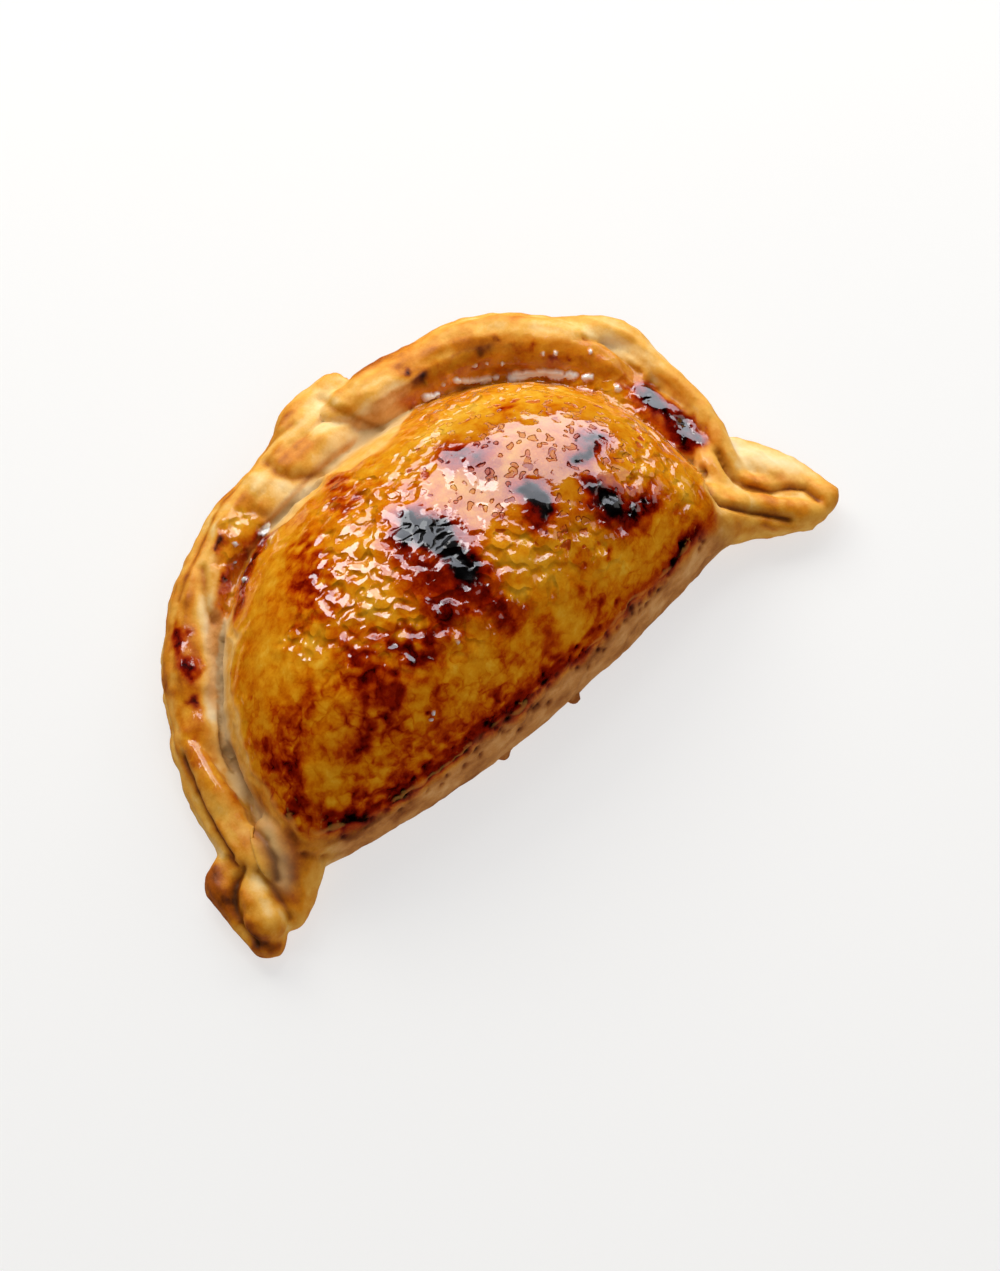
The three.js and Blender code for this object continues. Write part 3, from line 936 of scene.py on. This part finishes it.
def moveSkin(skin):
    rise = skin.rise - relief["hole"] * skin.hollow + relief["lip"] * skin.lip
    paler = relief["lipTone"] * skin.lip
    washHole, doughHole = relief["holeTones"]
    skin.tone = np.clip(skin.tone + washHole * skin.hollow - paler, 0, 1)
    skin.toast = np.clip(skin.toast + doughHole * skin.hollow - paler, 0, 1)
    lift = rise * ease(*relief["footHeight"], skin.z)
    moved = (skin.place + skin.facing * lift[:, None]) * mm
    low, high = (np.array(corner) for corner in cadBox)
    skin.mesh.vertices.foreach_set("co", np.clip(moved, low, high).ravel())
    skin.mesh.update()


# what the material reads, with the painted shade in folds and seams
shading = {
    "fold": 0.75,
    "foldDepth": (0.1, 1.5),
    "glazedFold": 0.6,  # less painted fold shade under the wash on the dome and on the edge
    "washedFold": 0.8,
    "seam": 0.5,
    "deepSeam": 0.7,
    "deepFrom": 0.9,
    "deepest": 0.8,
    "charred": (0.45, 0.8),
    "glintMottle": 0.4,
    "layers": [
        "glaze", "tone", "toast", "wall", "blister", "still",
        "shade", "cloud", "lip", "char", "raw", "foam",
    ],
}


def keepPaint(skin):
    # painted shade: darker in the folds, where a vertex lies below its neighbours, and in the seams
    folds = shading["fold"] * ease(*shading["foldDepth"], -skin.swell)
    folds = folds * (1 - shading["glazedFold"] * skin.dome * skin.glaze)
    folds = folds * (1 - shading["washedFold"] * skin.washed)
    seams = shading["seam"] * np.clip(skin.seam, 0, 1)
    seams = seams + shading["deepSeam"] * np.clip(skin.seam - shading["deepFrom"], 0, shading["deepest"])
    skin.shade = np.maximum(folds, seams)
    skin.char = ease(*shading["charred"], skin.soot) * (1 - skin.washed)
    skin.foam = np.clip(skin.foam * (1 + shading["glintMottle"] * skin.fine), 0, 1)
    for name in shading["layers"]:
        layer = skin.mesh.attributes.new(name, "FLOAT", "POINT")
        layer.data.foreach_set("value", np.asarray(getattr(skin, name), np.float32))
    skin.mesh.polygons.foreach_set("use_smooth", np.ones(len(skin.mesh.polygons), bool))


def paintCrust(piece):
    skin = measured(piece)
    layWash(skin)
    brownGlaze(skin)
    toastDough(skin)
    wrinkleSkin(skin)
    creaseDough(skin)
    pierceHoles(skin)
    raiseLips(skin)
    moveSkin(skin)
    keepPaint(skin)


# finish of the crust: colours, gloss, and patterns too fine for the mesh, in millimetres
bakedFinish = {
    "glazed": [  # from pale wash to burnt
        (0.0, tint(234, 178, 60)), (0.18, tint(224, 149, 30)), (0.34, tint(207, 114, 14)),
        (0.5, tint(178, 66, 9)), (0.66, tint(136, 30, 6)), (0.8, tint(90, 13, 4)),
        (0.92, tint(28, 6, 4)), (1.0, tint(8, 5, 5)),
    ],
    "calmShade": [  # painted shade: from golden to burnt, darker where the key light falls brightest on the calm top
        (0.0, tint(170, 120, 30)), (0.34, tint(150, 88, 18)), (0.66, tint(96, 34, 10)),
        (0.92, tint(24, 8, 6)),
    ],
    "bare": [  # from pale dough to well baked
        (0.0, tint(248, 226, 182)), (0.22, tint(243, 206, 138)), (0.42, tint(231, 169, 68)),
        (0.6, tint(212, 130, 24)), (0.78, tint(164, 82, 10)), (1.0, tint(54, 17, 4)),
    ],
    "wall": [  # thin dough over the fold
        (0.0, tint(226, 170, 104)), (0.3, tint(198, 130, 62)), (0.55, tint(156, 88, 32)),
        (0.8, tint(92, 42, 14)), (1.0, tint(40, 16, 8)),
    ],
    # painted shade: the dull brown that darkens the folds and seams
    "fold": tint(96, 58, 24),
    "foldShare": 0.78,
    "calmShadeShare": 0.4,
    # unbaked grey dough, also the colour of the painted shade in the groove
    "raw": tint(206, 172, 124),
    # painted highlight colour of the glints
    "glintWhite": tint(246, 252, 255),
    "lip": tint(222, 152, 70),
    "lipEdge": (0.45, 1.0),
    "lipShare": 0.34,
    "glazeRoughness": 0.055,
    "glazeIor": 1.72,
    "doughRoughness": (0.6, -0.2, 0.3),  # plain, toasted, small speckles
    "doughIor": 1.28,
    "pitDulls": 0.75,
    "charDulls": 0.5,
    "speckleRoughness": 0.55,
    "small": (1.6, 3),  # size and detail of the speckles
    "tiny": (0.5, 2),
    "streak": (1.5, 3),
    "streakStretch": (0.55, 1, 0.6),  # drawn out along the fold
    "bendSize": 1.8,
    "bend": 2.4,  # how far veins and cells are bent
    "vein": (4.2, 2),
    "veinWidth": 0.08,
    "crazeSize": 3.4,
    "crazeWidth": 0.26,
    "veinShares": (0.4, 0.6),  # veins and crazing
    "veinPatch": (4.5, 2),
    "veinPatchEdge": (-0.25, 0.15),
    "bubbleSize": 2.2,
    "bubbleEdge": (0.28, 0.42),
    "bubblePick": (0.31, 0.37),  # only some of the bubbles burst into pits
    "bubbleCalm": (0.0, 0.5),
    "toneMottle": (0.28, 0.16, 0.2),  # small and tiny speckles, rims of pits
    "toneVeins": (0.08, 0.22),  # plain, in the murk
    "tonePatches": (0.08, 0.16),
    "toastMottle": (0.16, 0.12, 0.5),  # small and tiny speckles, streaks
    "hollow": (2.7, 0.6),
    "hollowShift": 0.02,
    "hollowBlister": (0.0, 0.6),
    "ripple": (3.0, 0),
    "rippleHeight": (0.2, -0.12),  # plain, calm
    "glazeGrain": (1.3, 2),
    "glazeHeights": (0.03, -0.26, -3.0),  # grain, pits, hollows
    "doughGrain": (0.9, 2),
    "doughHeights": (0.1, 0.25),  # grain, streaks
}


def bakedCrust():
    material, shader = newMaterial("bakedCrust")
    tree = material.node_tree
    start = Wire(tree)
    look = bakedFinish
    spot = start.node("ShaderNodeTexCoord", out="Object")

    def painted(name):
        return start.node("ShaderNodeAttribute", {"attribute_name": name}, out="Fac")

    def combined(operation, *values):
        return start.node("ShaderNodeVectorMath", {"operation": operation}, dict(enumerate(values)))

    def speckle(size, detail, where=spot):  # noise around 0, with blobs of that many millimetres
        sockets = {"Vector": where, "Scale": 1 / (size * mm), "Detail": detail}
        sockets["Roughness"] = look["speckleRoughness"]
        return start.node("ShaderNodeTexNoise", None, sockets) - 0.5

    def cells(size, out, feature="F1"):  # bubbles and crazing that the oven raised in the wash
        sockets = {"Vector": bent, "Scale": 1 / (size * mm)}
        return start.node("ShaderNodeTexVoronoi", {"feature": feature}, sockets, out)

    def ramp(name, level):
        return start.node("ShaderNodeValToRGB", {"stops": look[name]}, {"Fac": level})

    def shaded(colour):  # painted shade: dull brown deep in the folds and seams
        return start.mixed(painted("shade") * look["foldShare"], colour, look["fold"])

    glaze, wall = painted("glaze"), painted("wall")
    blister, still, cloud = painted("blister"), painted("still"), painted("cloud")
    wave = {"Vector": spot, "Scale": 1 / (look["bendSize"] * mm), "Detail": 0}
    bend = start.node("ShaderNodeTexNoise", None, wave, "Color")
    bent = combined("MULTIPLY_ADD", bend, (look["bend"] * mm,) * 3, spot)
    small = speckle(*look["small"])
    tiny = speckle(*look["tiny"])
    streak = speckle(*look["streak"], combined("MULTIPLY", spot, look["streakStretch"])) * wall

    # veins, crazing and burst bubbles of the wash, and how brown both crusts are
    vein = 1 - start.maths("ABSOLUTE", speckle(*look["vein"], bent)).between(0.0, look["veinWidth"])
    craze = 1 - cells(look["crazeSize"], "Distance", "DISTANCE_TO_EDGE").between(0.0, look["crazeWidth"])
    patches = speckle(*look["veinPatch"]).between(*look["veinPatchEdge"])
    veins = weighed(look["veinShares"], vein, craze) * patches
    patchy = cells(look["crazeSize"], "Color") - 0.5
    dimple = 1 - cells(look["bubbleSize"], "Distance").between(*look["bubbleEdge"])
    burst = cells(look["bubbleSize"], "Color").between(*look["bubblePick"])
    pitted = dimple * burst * still.between(*look["bubbleCalm"])
    rim = pitted * (1 - pitted) * 4  # 1 half way down a pit's side
    tone = painted("tone") + weighed(look["toneMottle"], small, tiny, rim)
    tone = tone + veins * weighed(look["toneVeins"], 1, cloud)
    tone = tone + patchy * weighed(look["tonePatches"], 1, cloud)
    toast = painted("toast") + weighed(look["toastMottle"], small, tiny, streak)

    # relief: flat pits in the calm middle, and hollows with islands between them where the wash is wrinkled
    hollow = start.maths("MAXIMUM", speckle(*look["hollow"]) + look["hollowShift"], 0.0)
    hollow = hollow * blister.between(*look["hollowBlister"])
    ripple = speckle(*look["ripple"]) * weighed(look["rippleHeight"], 1, still)
    glazeRelief = ripple + weighed(look["glazeHeights"], speckle(*look["glazeGrain"]), pitted, hollow)
    doughRelief = weighed(look["doughHeights"], speckle(*look["doughGrain"]), streak)
    height = glazeRelief * glaze + doughRelief * (1 - glaze)
    bump = start.node("ShaderNodeBump", None, {"Strength": 1.0, "Distance": mm, "Height": height})

    # painted shade: the calm top is darkened where the key light falls brightest
    baked = start.mixed(still * look["calmShadeShare"], ramp("glazed", tone), ramp("calmShade", tone))
    # painted highlights: the glints are mixed in near-white
    glazeColour = start.mixed(painted("foam"), shaded(baked), look["glintWhite"])
    # unbaked grey dough, partly painted shade in the groove
    doughColour = start.mixed(painted("raw"), ramp("bare", toast), look["raw"])
    doughColour = start.mixed(wall, doughColour, ramp("wall", toast))
    lip = painted("lip").between(*look["lipEdge"]) * look["lipShare"]
    glazeColour = start.mixed(lip, glazeColour, look["lip"])
    doughColour = start.mixed(lip, doughColour, look["lip"])
    glossy = {"Base Color": glazeColour, "Normal": bump}
    glossy.update({"Roughness": look["glazeRoughness"], "IOR": look["glazeIor"]})
    matt = {"Base Color": start.mixed(glaze, shaded(doughColour), glazeColour), "Normal": bump}
    matt.update({"Roughness": weighed(look["doughRoughness"], 1, toast, small), "IOR": look["doughIor"]})
    glazedCrust = start.node("ShaderNodeBsdfPrincipled", None, glossy)
    bareCrust = start.node("ShaderNodeBsdfPrincipled", None, matt)
    gloss = glaze * (1 - pitted * look["pitDulls"]) * (1 - painted("char") * look["charDulls"])
    skin = start.node("ShaderNodeMixShader", None, {0: gloss, 1: bareCrust, 2: glazedCrust})
    tree.nodes.remove(shader)
    tree.links.new(skin.socket, tree.nodes["Material Output"].inputs["Surface"])
    return material


def bakeCrust():
    piece = remeshCrust()
    smoothCrust(piece)
    print("crust remeshed:", len(piece.data.polygons), "faces")
    paintCrust(piece)
    print("crust painted")
    piece.data.materials.clear()
    piece.data.materials.append(bakedCrust())
    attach(piece, "root")
    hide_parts("empanada")


bakeCrust()
print("crust baked")


# table
def layFloor():
    bm = bmesh.new()
    bmesh.ops.create_grid(bm, x_segments=1, y_segments=1, size=studio["floorSize"] / 2)
    mesh = bpy.data.meshes.new("floor")
    bm.to_mesh(mesh)
    bm.free()
    floor = bpy.data.objects.new("floor", mesh)
    scene.collection.objects.link(floor)
    material, shader = newMaterial("paleTable")
    level = studio["floorTone"]
    shader.inputs["Base Color"].default_value = (level, level, level, 1)
    shader.inputs["Roughness"].default_value = studio["floorRoughness"]
    shader.inputs["Specular IOR Level"].default_value = studio["floorShine"]
    shader.inputs["Emission Color"].default_value = (1, 1, 1, 1)
    shader.inputs["Emission Strength"].default_value = studio["floorGlow"]
    mesh.materials.append(material)
    floor.visible_glossy = False  # lights the crust from below but isn't mirrored in it


layFloor()
print("floor laid")
